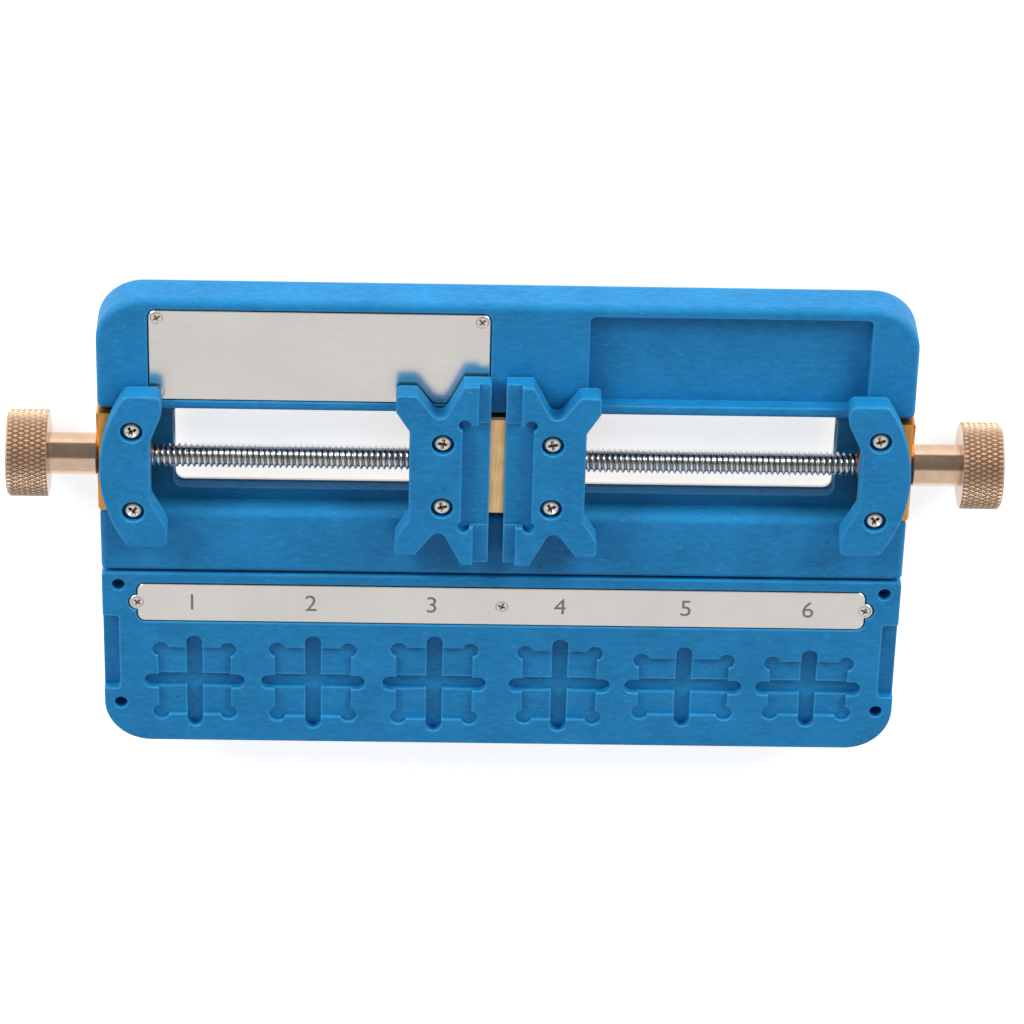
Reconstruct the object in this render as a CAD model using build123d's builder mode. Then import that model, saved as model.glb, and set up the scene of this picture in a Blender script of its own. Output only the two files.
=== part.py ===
"""Two-screw fixture for holding circuit boards and bare chips, as separate pieces.

Origin: middle of the footprint, on the bench that the feet stand on. +X runs along the
two lead screws, +Y points to the rear edge with the name plate, +Z is up. Millimetres.
The left and right halves share one set of functions: side is -1 for left, +1 for right.
"""

import os

from build123d import *

os.makedirs("parts", exist_ok=True)

# ---- blocks and base plate --------------------------------------------------------------
BODY_W = 155.3  # width of the blocks, along X
BODY_D = 99.0  # depth of both blocks together, along Y
TOP_Z = 11.5  # top face of the blocks
FOOT_H = 2.7
FOOT_R = 4.0
FOOT_X = 65.0
FOOT_Y = 42.0
FOOT_EDGE = 0.5
PLATE_T = 0.6
CORNER_R = 9.0  # outer corners seen from above
SEAM_Y = -10.4  # middle of the seam between the body and the chip tray
SEAM_W = 0.4
SEAM_CORNER_R = 0.9
REAR_EDGE_R = 1.3
TRAY_EDGE_R = 0.45
RIM = 0.2  # broken edge round every pocket and along the channel and the seam
SHEET_EDGE = 0.1

# ---- channel with its two through windows -----------------------------------------------
CHANNEL_Y = (3.3, 25.85)
CHANNEL_FLOOR_Z = 6.0
CHANNEL_MOUTH_R = 1.2
WINDOW_Y = (5.75, 23.6)
WINDOW_IN = 10.0  # inner end of a window, from the middle of the body
WINDOW_OUT = 63.65
WINDOW_R = 1.7
PLATE_LIP = 0.3  # how far the base plate reaches into each window

# ---- recesses in the blocks -------------------------------------------------------------
STORE_X = (15.3, 68.5)  # open pocket, rear right
STORE_Y = (28.2, 47.2)
STORE_DEPTH = 2.8
STORE_R = 1.1
NAME_X = (-67.65, -3.45)  # name plate, rear left
NAME_Y = (28.25, 47.25)
NAME_R = 1.5
SHEET_T = 0.8  # both stainless plates
SHEET_GAP = 0.25
SHEET_RECESS = 0.9
SHEET_SCREW_INSET = 1.55
LABEL_Y = -17.3
LABEL_W = 8.3
LABEL_HALF_L = 70.8
LABEL_R = 1.5
LABEL_EAR_R = 1.6
NOTCH_IN = 74.5  # finger notches at both ends of the tray
NOTCH_Y = (-37.4, -20.4)
NOTCH_DEPTH = 2.0
NOTCH_R = 0.8

# ---- chip pockets: middle along X, width along X, height along Y --------------------------
POCKET_Y = -35.5
POCKETS = (
    (-59.9, 14.1, 15.5),
    (-36.7, 14.9, 15.9),
    (-12.9, 14.9, 16.6),
    (11.7, 14.5, 15.9),
    (36.1, 17.6, 13.0),
    (60.7, 15.3, 12.4),
)
POCKET_DEPTH = 0.8
POCKET_EAR_R = 1.6
POCKET_EAR_INSET = 0.45
SLOT_W = 3.1
SLOT_EXTRA = 5.5  # slot length beyond the pocket's own size
SLOT_DEPTH = 1.7

# ---- brass blocks -----------------------------------------------------------------------
BLOCK_Y = (4.0, 25.3)
BLOCK_TOP_Z = 12.1
BLOCK_EDGE = 0.4
END_IN = 68.2
END_OUT = 77.85
CENTRE_HALF = 3.25
CENTRE_TOP_Z = 11.8
SLIDER_IN = 3.55  # from the jaw's inner edge
SLIDER_OUT = 14.05
SLIDER_GAP = 0.05  # under the slider

# ---- jaws -------------------------------------------------------------------------------
JAW_T = 4.2
JAW_TOP_Z = BLOCK_TOP_Z + JAW_T
JAW_EDGE = 0.2
JAW_REST = {-1: 3.05, 1: -0.2}  # inner edge of each moving jaw, from the middle
JAW_SCREW_IN = 9.0
JAW_SCREW_V = 7.0
# half of a moving jaw's outline: distance from its inner edge, distance from the screws' middle
NOSE = (5.15, 19.7)
VEE_BOTTOM = (9.4, 11.25)
ARM_START = (14.0, 17.55)
ARM_TIP = (17.95, 17.55)
ARM_FOOT = (17.95, 14.0)
WAIST = (15.35, 9.8)
JAW_OUTLINE = ((0, NOSE[1]), NOSE, VEE_BOTTOM, ARM_START, ARM_TIP, ARM_FOOT, WAIST)
NOSE_R = 0.4
VEE_R = 1.6
ARM_R = 0.8
LEDGE_W = {1: 2.95, -1: 2.3}  # one end of a jaw has the wider ledge
LEDGE_DEPTH = 1.4
RELIEF_W = 5.3
RELIEF_HALF = 11.2
RELIEF_DEPTH = 1.7
RELIEF_EAR_R = 1.2
RELIEF_EAR_INSET = 0.45
# fixed jaw: distance from the middle of the body, distance from the screws' middle
TROUGH_BOTTOM = (67.6, 6.3)
TROUGH_TOP_V = 12.4
FRONT_ARM_IN = 64.55
REAR_ARM_IN = {-1: 65.3, 1: 64.75}
TROUGH_BOTTOM_R = 3.0
TROUGH_TOP_R = 2.0
OUTER_HALF = 16.5
OUTER_CORNER_R = 1.3
OUTER_ARC_X = 77.2
OUTER_ARC_R = 29.0
OUTER_SCREW_X = 70.95
OUTER_SCREW_V = 8.75

# ---- lead screws, bearings and knobs ------------------------------------------------------
SCREW_Y = 14.8  # middle of both screws and of the jaws
SCREW_Z = 9.2
TIP_GAP = 0.1  # between the bottom of a bearing pocket and what turns in it
SCREW_R = 2.3
NUT_R = 2.38
TIP_R = 1.0
THREAD_IN = 3.4
THREAD_OUT = 67.65
STEM_R = 2.0
STEM_OUT = 92.5
STEM_HOLE_R = 2.05
BEARING_OUT_R = 2.0
BEARING_L = 2.0
RACE_OUT_R = 1.7
RACE_IN_R = 1.25
BALL_R = 0.2
BALL_COUNT = 8
WASHER_R = 2.7
WASHER_T = 0.5
NECK_R = 4.0
NECK_IN = 77.9
KNOB_IN = 87.1
KNOB_OUT = 94.9
KNOB_R = 8.3
KNOB_RIM_IN = 0.3
KNOB_RIM_OUT = 0.5
KNOB_BORE_OUT = 92.6
GRUB_X = 82.5
GRUB_R = 1.0
GRUB_SINK = 0.2
GRUB_HEX_R = 0.5
GRUB_HEX_DEPTH = 1.0

# ---- fasteners: head radius, head height, shank radius, cross recess length, width, depth --
CAP_SCREW = (1.7, 1.45, 1.0, 1.9, 0.5, 0.7)
PLATE_SCREW = (1.2, 0.4, 0.6, 1.4, 0.36, 0.3)
BASE_SCREW = (1.9, 1.3, 1.0, 2.2, 0.6, 0.8)
HEAD_ROUND = 0.4  # rounding of a head's rim, as a share of its height
CLEARANCE_R = 1.1
CAP_SINK = 0.45  # head below the jaw's top face
CAP_BORE_R = 2.15
CAP_TIP_Z = 7.8
CAP_HOLE_Z = 7.6
PLATE_SCREW_L = 3.0
BASE_SCREW_L = 5.6
BLOCK_HOLE_Z = 8.6
BODY_SCREWS = ((-73, 37), (6, 37), (73, 37), (-72, -3.5), (0, -3.5), (72, -3.5))
TRAY_SCREW_X = 74.45
TRAY_SCREW_Y = (-40.7, -13.4)
TRAY_HOLE_R = 1.25
BLOCK_SCREW_X = 73.0
BLOCK_SCREW_V = 5.5
CENTRE_SCREW_V = 7.5

BASE_Z = FOOT_H + PLATE_T  # underside of the blocks
HALF_W = BODY_W / 2
HALF_D = BODY_D / 2
CAP_HEAD_Z = JAW_TOP_Z - CAP_SINK
CAP_SEAT_Z = CAP_HEAD_Z - CAP_SCREW[1]
SHEET_TOP_Z = TOP_Z - SHEET_RECESS + SHEET_T
NEAR = 0.1  # how close a point lies to the place it is picked by
THROUGH = 3 * TOP_Z  # taller than any piece, for cuts that go right through
ALONG_X = Axis((0, SCREW_Y, SCREW_Z), (1, 0, 0))
TOP_MIN = (Align.CENTER, Align.CENTER, Align.MIN)
TOP_MAX = (Align.CENTER, Align.CENTER, Align.MAX)

NAME_SCREWS = [
    (x, y)
    for x in (NAME_X[0] + SHEET_SCREW_INSET, NAME_X[1] - SHEET_SCREW_INSET)
    for y in (NAME_Y[0] + SHEET_SCREW_INSET, NAME_Y[1] - SHEET_SCREW_INSET)
]
LABEL_SCREWS = [(x, LABEL_Y) for x in (-LABEL_HALF_L, 0, LABEL_HALF_L)]
TRAY_SCREWS = [(x, y) for x in (-TRAY_SCREW_X, TRAY_SCREW_X) for y in TRAY_SCREW_Y]
END_BLOCK_SCREWS = [
    (x, SCREW_Y + v)
    for x in (-BLOCK_SCREW_X, BLOCK_SCREW_X)
    for v in (-BLOCK_SCREW_V, BLOCK_SCREW_V)
]
CENTRE_SCREWS = [(0, SCREW_Y - CENTRE_SCREW_V), (0, SCREW_Y + CENTRE_SCREW_V)]
BLOCK_SCREWS = END_BLOCK_SCREWS + CENTRE_SCREWS
OUTER_JAW_SCREWS = [
    (x, SCREW_Y + v)
    for x in (-OUTER_SCREW_X, OUTER_SCREW_X)
    for v in (-OUTER_SCREW_V, OUTER_SCREW_V)
]
WINDOW_CENTRES = [(x * (WINDOW_IN + WINDOW_OUT) / 2, sum(WINDOW_Y) / 2) for x in (-1, 1)]
WINDOW_SIZE = (WINDOW_OUT - WINDOW_IN, WINDOW_Y[1] - WINDOW_Y[0])


def save(builder, label):
    """Label one finished piece and write its STEP file."""
    builder.part.label = label
    export_step(builder.part, f"parts/{label}.step")


def side_name(side, label):
    return ("left_" if side < 0 else "right_") + label


def top_plane(side, inner_edge, z):
    """Plane seen from above, whose X points from the middle out to one side."""
    return Plane(origin=(side * inner_edge, SCREW_Y, z), x_dir=(side, 0, 0), z_dir=(0, 0, 1))


def half_section(side):
    """Plane through a screw's axis; its X points from the middle out to one side."""
    return Plane(origin=(0, SCREW_Y, SCREW_Z), x_dir=(side, 0, 0), z_dir=(0, -side, 0))


def spots(points, z):
    return [Location((x, y, z)) for x, y in points]


def corners_at(outline, distance):
    """The corners of a jaw's outline at one distance from the screws' middle, on both sides."""
    return outline.vertices().filter_by(lambda p: abs(abs(p.Y) - distance) < NEAR)


def top_face(builder):
    return builder.faces().filter_by(Axis.Z).sort_by(Axis.Z)[-1]


def pocket_rims(builder):
    """Edges round whatever is sunk into the top faces, without the faces' outer edges."""
    tops = builder.faces().filter_by(Axis.Z).group_by(Axis.Z)[-1]
    return [edge for face in tops for wire in face.inner_wires() for edge in wire.edges()]


def wedge(y, toward):
    """Corners of the sliver that breaks a top edge running along X; toward is 1 for a block at +Y."""
    far_y = y + toward * RIM
    return [(y, TOP_Z - RIM), (far_y, TOP_Z), (far_y, TOP_Z + RIM), (y, TOP_Z + RIM)]


def middle(span):
    return (span[0] + span[1]) / 2


def length(span):
    return span[1] - span[0]


# ---- base -------------------------------------------------------------------------------
def base_plate():
    plate_window = [size - 2 * PLATE_LIP for size in WINDOW_SIZE]
    with BuildPart() as plate:
        with BuildSketch(Plane.XY.offset(FOOT_H)):
            RectangleRounded(BODY_W, BODY_D, CORNER_R)
            with Locations(*WINDOW_CENTRES):
                RectangleRounded(*plate_window, WINDOW_R, mode=Mode.SUBTRACT)
            with Locations(*BODY_SCREWS, *TRAY_SCREWS, *BLOCK_SCREWS):
                Circle(CLEARANCE_R, mode=Mode.SUBTRACT)
        extrude(amount=PLATE_T)
    save(plate, "base_plate")


def rubber_feet():
    with BuildPart() as feet:
        with BuildSketch():
            with Locations(*[(x, y) for x in (-FOOT_X, 0, FOOT_X) for y in (-FOOT_Y, FOOT_Y)]):
                Circle(FOOT_R)
        extrude(amount=FOOT_H)
        chamfer(feet.edges().filter_by(GeomType.CIRCLE).group_by(Axis.Z)[0], FOOT_EDGE)
    save(feet, "rubber_feet")


def main_body():
    front_y = SEAM_Y + SEAM_W / 2
    with BuildPart() as body:
        with BuildSketch(Plane.XY.offset(BASE_Z)) as outline:
            with Locations((0, (front_y + HALF_D) / 2)):
                Rectangle(BODY_W, HALF_D - front_y)
            fillet(outline.vertices().group_by(Axis.Y)[-1], CORNER_R)
            fillet(outline.vertices().group_by(Axis.Y)[0], SEAM_CORNER_R)
        extrude(amount=TOP_Z - BASE_Z)
        top_edges = body.faces().sort_by(Axis.Z)[-1].edges()
        fillet(top_edges.filter_by(lambda e: e.center().Y > front_y + SEAM_CORNER_R), REAR_EDGE_R)
        with BuildSketch(Plane.XY.offset(CHANNEL_FLOOR_Z)):
            with Locations((0, middle(CHANNEL_Y))):
                Rectangle(2 * BODY_W, length(CHANNEL_Y))
        extrude(amount=THROUGH, mode=Mode.SUBTRACT)
        channel_wall_edges = body.edges().filter_by(
            lambda e: min(abs(e.center().Y - wall_y) for wall_y in CHANNEL_Y) < NEAR
        )
        fillet(channel_wall_edges.filter_by(Axis.Z), CHANNEL_MOUTH_R)
        with BuildSketch(Plane.XY.offset(BASE_Z)):
            with Locations(*WINDOW_CENTRES):
                RectangleRounded(*WINDOW_SIZE, WINDOW_R)
            with Locations(*BLOCK_SCREWS):
                Circle(CLEARANCE_R)
        extrude(amount=THROUGH, mode=Mode.SUBTRACT)
        with BuildSketch(Plane.XY.offset(TOP_Z - STORE_DEPTH)):
            with Locations((middle(STORE_X), middle(STORE_Y))):
                RectangleRounded(length(STORE_X), length(STORE_Y), STORE_R)
        extrude(amount=THROUGH, mode=Mode.SUBTRACT)
        with BuildSketch(Plane.XY.offset(TOP_Z - SHEET_RECESS)):
            with Locations((middle(NAME_X), middle(NAME_Y))):
                RectangleRounded(
                    length(NAME_X) + 2 * SHEET_GAP, length(NAME_Y) + 2 * SHEET_GAP, NAME_R + SHEET_GAP
                )
        extrude(amount=THROUGH, mode=Mode.SUBTRACT)
        chamfer(pocket_rims(body), RIM)
        long_edges = ((front_y, 1), (CHANNEL_Y[0], -1), (CHANNEL_Y[1], 1))
        with BuildSketch(Plane.YZ):
            for y, toward in long_edges:
                with BuildLine():
                    Polyline(*wedge(y, toward), close=True)
                make_face()
        extrude(amount=BODY_W, both=True, mode=Mode.SUBTRACT)
        with Locations(*spots(NAME_SCREWS, SHEET_TOP_Z)):
            Cylinder(PLATE_SCREW[2], PLATE_SCREW_L + PLATE_SCREW[1], align=TOP_MAX, mode=Mode.SUBTRACT)
        with Locations(*spots(BODY_SCREWS, FOOT_H)):
            Cylinder(BASE_SCREW[2], BASE_SCREW_L, align=TOP_MIN, mode=Mode.SUBTRACT)
    save(body, "main_body")


def chip_tray():
    rear_y = SEAM_Y - SEAM_W / 2
    with BuildPart() as tray:
        with BuildSketch(Plane.XY.offset(BASE_Z)) as outline:
            with Locations((0, (rear_y - HALF_D) / 2)):
                Rectangle(BODY_W, rear_y + HALF_D)
            fillet(outline.vertices().group_by(Axis.Y)[0], CORNER_R)
            fillet(outline.vertices().group_by(Axis.Y)[-1], SEAM_CORNER_R)
        extrude(amount=TOP_Z - BASE_Z)
        top_edges = tray.faces().sort_by(Axis.Z)[-1].edges()
        fillet(top_edges.filter_by(lambda e: e.center().Y < rear_y - SEAM_CORNER_R), TRAY_EDGE_R)
        for x, width, height in POCKETS:
            with BuildSketch(Plane.XY.offset(TOP_Z - POCKET_DEPTH)):
                with Locations((x, POCKET_Y)):
                    Rectangle(width, height)
                    with GridLocations(
                        width - 2 * POCKET_EAR_INSET, height - 2 * POCKET_EAR_INSET, 2, 2
                    ):
                        Circle(POCKET_EAR_R)
            extrude(amount=THROUGH, mode=Mode.SUBTRACT)
            with BuildSketch(Plane.XY.offset(TOP_Z - SLOT_DEPTH)):
                with Locations((x, POCKET_Y)):
                    SlotOverall(width + SLOT_EXTRA, SLOT_W)
                    SlotOverall(height + SLOT_EXTRA, SLOT_W, rotation=90)
            extrude(amount=THROUGH, mode=Mode.SUBTRACT)
        with BuildSketch(Plane.XY.offset(TOP_Z - NOTCH_DEPTH)):
            with Locations((-HALF_W, middle(NOTCH_Y)), (HALF_W, middle(NOTCH_Y))):
                RectangleRounded(2 * (HALF_W - NOTCH_IN), length(NOTCH_Y), NOTCH_R)
        extrude(amount=THROUGH, mode=Mode.SUBTRACT)
        with BuildSketch(Plane.XY.offset(TOP_Z - SHEET_RECESS)):
            with Locations((0, LABEL_Y)):
                RectangleRounded(
                    2 * (LABEL_HALF_L + SHEET_GAP), LABEL_W + 2 * SHEET_GAP, LABEL_R + SHEET_GAP
                )
            with Locations(LABEL_SCREWS[0], LABEL_SCREWS[-1]):
                Circle(LABEL_EAR_R + SHEET_GAP)
        extrude(amount=THROUGH, mode=Mode.SUBTRACT)
        with Locations(*spots(LABEL_SCREWS, SHEET_TOP_Z)):
            Cylinder(PLATE_SCREW[2], PLATE_SCREW_L + PLATE_SCREW[1], align=TOP_MAX, mode=Mode.SUBTRACT)
        with Locations(*spots(TRAY_SCREWS, FOOT_H)):
            Cylinder(BASE_SCREW[2], THROUGH, align=TOP_MIN, mode=Mode.SUBTRACT)
        with Locations(*spots(TRAY_SCREWS, FOOT_H + BASE_SCREW_L)):
            Cylinder(TRAY_HOLE_R, THROUGH, align=TOP_MIN, mode=Mode.SUBTRACT)
        chamfer(pocket_rims(tray), RIM)
        with BuildSketch(Plane.YZ):
            with BuildLine():
                Polyline(*wedge(rear_y, -1), close=True)
            make_face()
        extrude(amount=BODY_W, both=True, mode=Mode.SUBTRACT)
    save(tray, "chip_tray")


# ---- stainless plates -------------------------------------------------------------------
def name_plate():
    with BuildPart() as plate:
        with BuildSketch(Plane.XY.offset(TOP_Z - SHEET_RECESS)):
            with Locations((middle(NAME_X), middle(NAME_Y))):
                RectangleRounded(length(NAME_X), length(NAME_Y), NAME_R)
            with Locations(*NAME_SCREWS):
                Circle(PLATE_SCREW[2], mode=Mode.SUBTRACT)
        extrude(amount=SHEET_T)
        chamfer(top_face(plate).outer_wire().edges(), SHEET_EDGE)
        with Locations(*spots(NAME_SCREWS, SHEET_TOP_Z)):
            Cylinder(PLATE_SCREW[0], PLATE_SCREW[1], align=TOP_MAX, mode=Mode.SUBTRACT)
    save(plate, "name_plate")


def label_strip():
    with BuildPart() as strip:
        with BuildSketch(Plane.XY.offset(TOP_Z - SHEET_RECESS)):
            with Locations((0, LABEL_Y)):
                RectangleRounded(2 * LABEL_HALF_L, LABEL_W, LABEL_R)
            with Locations(LABEL_SCREWS[0], LABEL_SCREWS[-1]):
                Circle(LABEL_EAR_R)
            with Locations(*LABEL_SCREWS):
                Circle(PLATE_SCREW[2], mode=Mode.SUBTRACT)
        extrude(amount=SHEET_T)
        chamfer(top_face(strip).outer_wire().edges(), SHEET_EDGE)
        with Locations(*spots(LABEL_SCREWS, SHEET_TOP_Z)):
            Cylinder(PLATE_SCREW[0], PLATE_SCREW[1], align=TOP_MAX, mode=Mode.SUBTRACT)
    save(strip, "label_strip")


# ---- fasteners --------------------------------------------------------------------------
def fasteners(label, points, head_face_z, kind, shank_length, face_up=True):
    """A set of identical cross-recess screws, each a solid of its own."""
    head_r, head_h, shank_r, cross_l, cross_w, cross_depth = kind
    turn = 1 if face_up else -1
    with BuildPart() as screws:
        places = [
            Plane(origin=(x, y, head_face_z), x_dir=(1, 0, 0), z_dir=(0, 0, turn)).location
            for x, y in points
        ]
        with Locations(*places):
            Cylinder(head_r, head_h, align=TOP_MAX)
        rims = screws.edges().filter_by(GeomType.CIRCLE).group_by(Axis.Z)[-1 if face_up else 0]
        fillet(rims, head_h * HEAD_ROUND)
        with Locations(*places):
            with Locations((0, 0, -head_h)):
                Cylinder(shank_r, shank_length, align=TOP_MAX)
            Box(cross_l, cross_w, 2 * cross_depth, mode=Mode.SUBTRACT)
            Box(cross_w, cross_l, 2 * cross_depth, mode=Mode.SUBTRACT)
    save(screws, label)


# ---- brass blocks -----------------------------------------------------------------------
def end_block(side):
    with BuildPart() as block:
        with BuildSketch(Plane.XY.offset(CHANNEL_FLOOR_Z)):
            with Locations((side * (END_IN + END_OUT) / 2, middle(BLOCK_Y))):
                Rectangle(END_OUT - END_IN, length(BLOCK_Y))
        extrude(amount=BLOCK_TOP_Z - CHANNEL_FLOOR_Z)
        outer_face = block.faces().sort_by(Axis.X)[0 if side < 0 else -1]
        chamfer(outer_face.edges().filter_by(lambda e: e.center().Z > CHANNEL_FLOOR_Z + NEAR), BLOCK_EDGE)
        with BuildSketch(Plane.YZ.offset(side * END_IN)):
            with Locations((SCREW_Y, SCREW_Z)):
                Circle(STEM_HOLE_R)
        extrude(amount=side * (END_OUT - END_IN), mode=Mode.SUBTRACT)
        jaw_points = [p for p in OUTER_JAW_SCREWS if p[0] * side > 0]
        with Locations(*spots(jaw_points, BLOCK_TOP_Z)):
            Cylinder(CAP_SCREW[2], BLOCK_TOP_Z - CAP_HOLE_Z, align=TOP_MAX, mode=Mode.SUBTRACT)
        base_points = [p for p in END_BLOCK_SCREWS if p[0] * side > 0]
        with Locations(*spots(base_points, CHANNEL_FLOOR_Z)):
            Cylinder(
                BASE_SCREW[2], BLOCK_HOLE_Z - CHANNEL_FLOOR_Z, align=TOP_MIN, mode=Mode.SUBTRACT
            )
    save(block, side_name(side, "end_block"))


def centre_block():
    with BuildPart() as block:
        with BuildSketch(Plane.XY.offset(CHANNEL_FLOOR_Z)):
            with Locations((0, middle(BLOCK_Y))):
                Rectangle(2 * CENTRE_HALF, length(BLOCK_Y))
        extrude(amount=CENTRE_TOP_Z - CHANNEL_FLOOR_Z)
        chamfer(block.faces().sort_by(Axis.Z)[-1].edges().filter_by(Axis.X), BLOCK_EDGE)
        for side in (-1, 1):
            with BuildSketch(Plane.YZ.offset(side * (CENTRE_HALF - BEARING_L))):
                with Locations((SCREW_Y, SCREW_Z)):
                    Circle(BEARING_OUT_R)
            extrude(amount=side * BEARING_L, mode=Mode.SUBTRACT)
        with Locations(*spots(CENTRE_SCREWS, CHANNEL_FLOOR_Z)):
            Cylinder(
                BASE_SCREW[2], BLOCK_HOLE_Z - CHANNEL_FLOOR_Z, align=TOP_MIN, mode=Mode.SUBTRACT
            )
    save(block, "centre_block")


def slider(side):
    inner = JAW_REST[side] + SLIDER_IN
    outer = JAW_REST[side] + SLIDER_OUT
    bottom_z = CHANNEL_FLOOR_Z + SLIDER_GAP
    screw_x = side * (JAW_REST[side] + JAW_SCREW_IN)
    with BuildPart() as block:
        with BuildSketch(Plane.XY.offset(bottom_z)):
            with Locations((side * (inner + outer) / 2, middle(BLOCK_Y))):
                Rectangle(outer - inner, length(BLOCK_Y))
        extrude(amount=BLOCK_TOP_Z - bottom_z)
        chamfer(block.edges().filter_by(Axis.X).group_by(Axis.Z)[0], BLOCK_EDGE)
        with BuildSketch(Plane.YZ.offset(side * inner)):
            with Locations((SCREW_Y, SCREW_Z)):
                Circle(NUT_R)
        extrude(amount=side * (outer - inner), mode=Mode.SUBTRACT)
        points = [(screw_x, SCREW_Y - JAW_SCREW_V), (screw_x, SCREW_Y + JAW_SCREW_V)]
        with Locations(*spots(points, BLOCK_TOP_Z)):
            Cylinder(CAP_SCREW[2], BLOCK_TOP_Z - CAP_HOLE_Z, align=TOP_MAX, mode=Mode.SUBTRACT)
    save(block, side_name(side, "slider"))
    fasteners(side_name(side, "jaw_screws"), points, CAP_HEAD_Z, CAP_SCREW, CAP_SEAT_Z - CAP_TIP_Z)


# ---- jaws -------------------------------------------------------------------------------
def outer_jaw(side):
    """Fixed jaw: curved outer edge, and a shallow trough facing the moving jaw."""
    arc_end_x = OUTER_ARC_X - OUTER_ARC_R + (OUTER_ARC_R**2 - OUTER_HALF**2) ** 0.5
    ends = {}
    for toward, arm_in in ((side, REAR_ARM_IN[side]), (-side, FRONT_ARM_IN)):
        half = [TROUGH_BOTTOM, (arm_in, TROUGH_TOP_V), (arm_in, OUTER_HALF), (arc_end_x, OUTER_HALF)]
        ends[toward] = [(x, toward * v) for x, v in half]
    with BuildPart() as jaw:
        with BuildSketch(top_plane(side, 0, BLOCK_TOP_Z)) as outline:
            with BuildLine():
                Polyline(*reversed(ends[-1]), *ends[1])
                ThreePointArc((arc_end_x, OUTER_HALF), (OUTER_ARC_X, 0), (arc_end_x, -OUTER_HALF))
            make_face()
            fillet(corners_at(outline, TROUGH_BOTTOM[1]), TROUGH_BOTTOM_R)
            fillet(corners_at(outline, TROUGH_TOP_V), TROUGH_TOP_R)
            fillet(corners_at(outline, OUTER_HALF), OUTER_CORNER_R)
        extrude(amount=JAW_T)
        points = [p for p in OUTER_JAW_SCREWS if p[0] * side > 0]
        with Locations(*spots(points, JAW_TOP_Z)):
            CounterBoreHole(CLEARANCE_R, CAP_BORE_R, JAW_TOP_Z - CAP_SEAT_Z)
        chamfer(top_face(jaw).edges(), JAW_EDGE)
    save(jaw, side_name(side, "outer_jaw"))


def inner_jaw(side):
    """Moving jaw: four arms with a vee between each pair, and a stepped inner edge."""
    rest = JAW_REST[side]
    top = top_plane(side, rest, JAW_TOP_Z)
    with BuildPart() as jaw:
        with BuildSketch(top_plane(side, rest, BLOCK_TOP_Z)) as outline:
            with BuildLine():
                Polyline(*JAW_OUTLINE, *[(u, -v) for u, v in reversed(JAW_OUTLINE)], close=True)
            make_face()
            fillet(corners_at(outline, VEE_BOTTOM[1]), VEE_R)
            fillet(corners_at(outline, ARM_TIP[1]), ARM_R)
            fillet(corners_at(outline, ARM_FOOT[1]), ARM_R)
            fillet(corners_at(outline, NOSE[1]), NOSE_R)
        extrude(amount=JAW_T)
        with BuildSketch(top.offset(-LEDGE_DEPTH)):
            for toward, width in LEDGE_W.items():
                with Locations((0, toward * HALF_D)):
                    Rectangle(2 * width, BODY_D)
        extrude(amount=THROUGH, mode=Mode.SUBTRACT)
        with BuildSketch(top.offset(-RELIEF_DEPTH)):
            Rectangle(2 * RELIEF_W, 2 * RELIEF_HALF)
            with Locations(
                (RELIEF_W - RELIEF_EAR_INSET, RELIEF_HALF), (RELIEF_W - RELIEF_EAR_INSET, -RELIEF_HALF)
            ):
                Circle(RELIEF_EAR_R)
        extrude(amount=THROUGH, mode=Mode.SUBTRACT)
        screw_x = side * (rest + JAW_SCREW_IN)
        points = [(screw_x, SCREW_Y - JAW_SCREW_V), (screw_x, SCREW_Y + JAW_SCREW_V)]
        with Locations(*spots(points, JAW_TOP_Z)):
            CounterBoreHole(CLEARANCE_R, CAP_BORE_R, JAW_TOP_Z - CAP_SEAT_Z)
        chamfer(top_face(jaw).edges(), JAW_EDGE)
    save(jaw, side_name(side, "jaw"))


# ---- turned pieces: profiles are distance from the middle, and radius --------------------
def lead_screw(side):
    tip = CENTRE_HALF - BEARING_L + TIP_GAP
    profile = [
        (tip, 0),
        (tip, TIP_R),
        (THREAD_IN, TIP_R),
        (THREAD_IN, SCREW_R),
        (THREAD_OUT, SCREW_R),
        (THREAD_OUT, STEM_R),
        (STEM_OUT, STEM_R),
        (STEM_OUT, 0),
    ]
    with BuildPart() as screw:
        with BuildSketch(half_section(side)):
            with BuildLine():
                Polyline(*profile, close=True)
            make_face()
        revolve(axis=ALONG_X)
    save(screw, side_name(side, "lead_screw"))


def ring(label, side, start, width, inner_r, outer_r):
    with BuildPart() as band:
        with BuildSketch(Plane.YZ.offset(side * start)):
            with Locations((SCREW_Y, SCREW_Z)):
                Circle(outer_r)
                Circle(inner_r, mode=Mode.SUBTRACT)
        extrude(amount=side * width)
    save(band, side_name(side, label))


def bearing(side):
    """Miniature ball bearing: the outer ring and balls stay, the inner ring turns."""
    start = CENTRE_HALF - BEARING_L
    ring("bearing_outer_ring", side, start, BEARING_L, RACE_OUT_R, BEARING_OUT_R)
    ring("bearing_inner_ring", side, start + TIP_GAP, BEARING_L - TIP_GAP, TIP_R, RACE_IN_R)
    ball_plane = Plane.YZ.offset(side * (CENTRE_HALF - BEARING_L / 2))
    with BuildPart() as balls:
        with Locations(ball_plane.location * Location((SCREW_Y, SCREW_Z, 0))):
            with PolarLocations((RACE_IN_R + RACE_OUT_R) / 2, BALL_COUNT):
                Sphere(BALL_R)
    save(balls, side_name(side, "bearing_balls"))


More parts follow.
